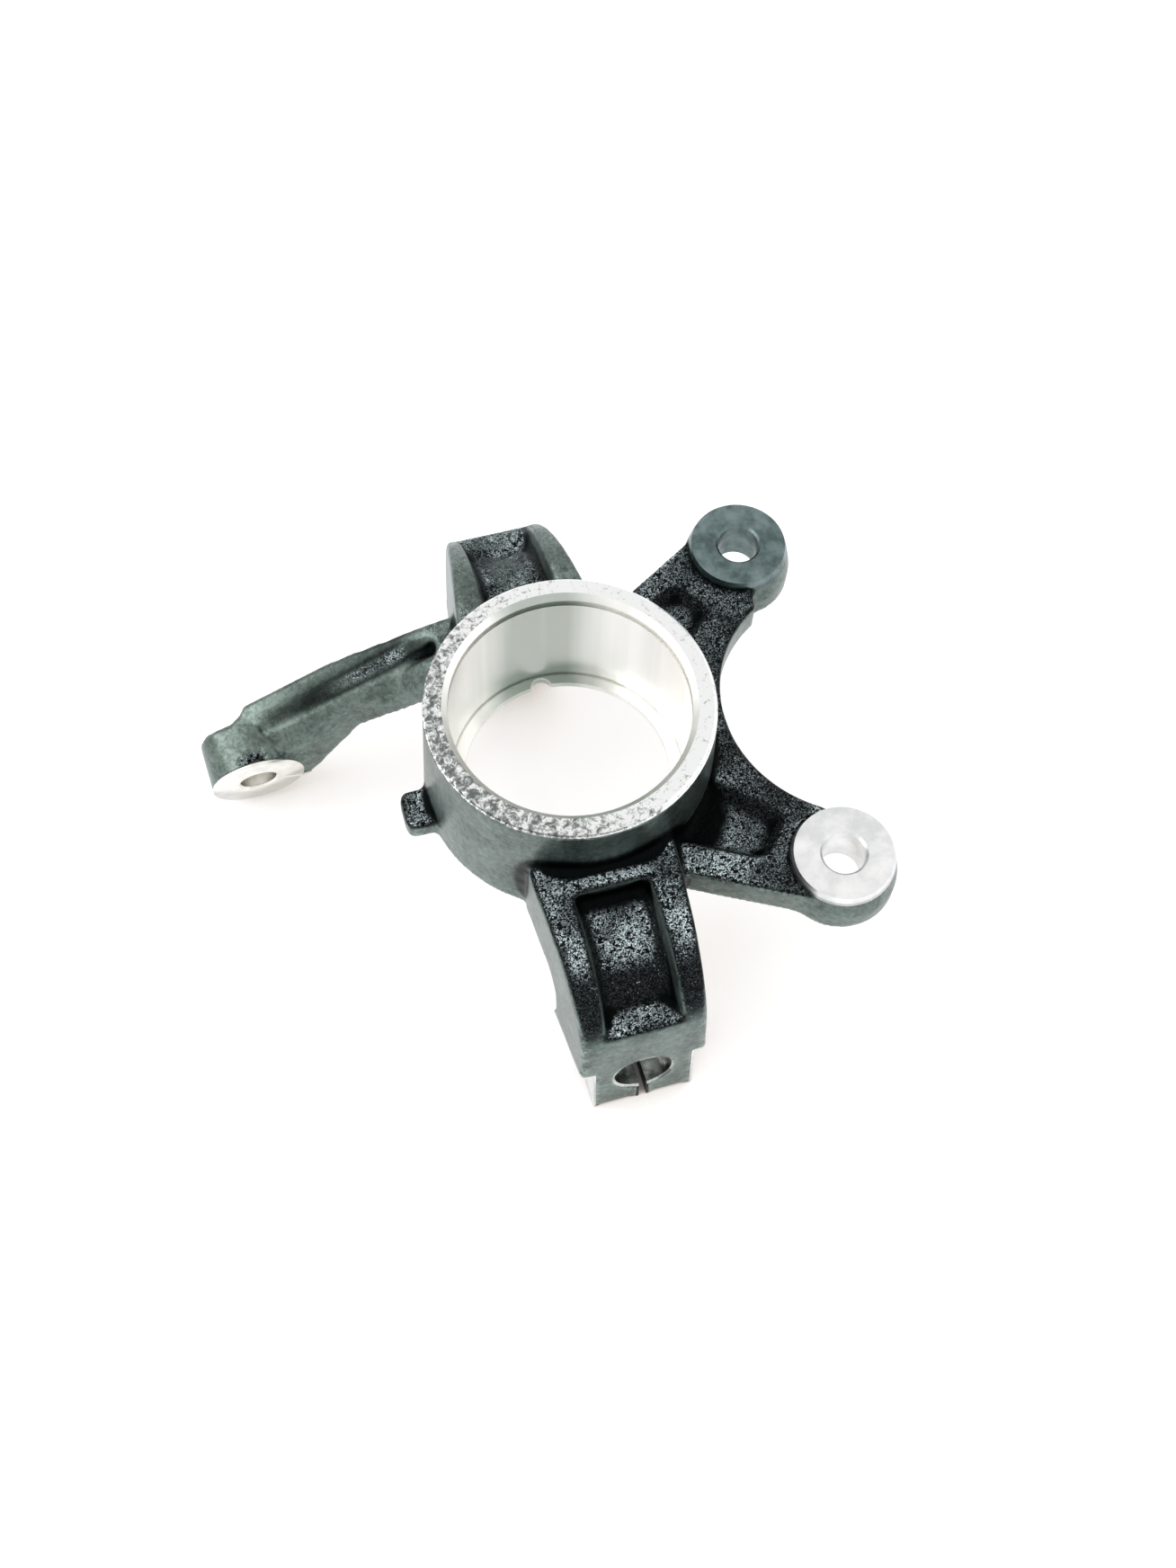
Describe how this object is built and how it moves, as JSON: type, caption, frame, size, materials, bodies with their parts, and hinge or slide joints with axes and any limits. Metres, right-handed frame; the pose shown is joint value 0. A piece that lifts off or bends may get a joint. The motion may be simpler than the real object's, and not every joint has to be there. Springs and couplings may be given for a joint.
{
  "type": "steering knuckle",
  "caption": "Cast front steering knuckle: round wheel bearing housing with caliper ears, split ball joint clamps, steering arm and tie rod boss.",
  "frame": {"origin": "on the axis of the wheel bearing bore, at the middle of the bearing seat's length", "axes": "+Z along the bearing axis towards the wheel, +Y in the kingpin plane towards the upper ball joint clamp, +X towards the caliper ears"},
  "size_m": [0.1979, 0.1878, 0.1036],
  "materials": {
    "cast_aluminium": "dark coarse-grained cast skin; the bore, rim, ear seats, tie rod seat and clamp faces are bright machined"
  },
  "bodies": {
    "root": {"steering_knuckle": "cast_aluminium"}
  },
  "joints": []
}
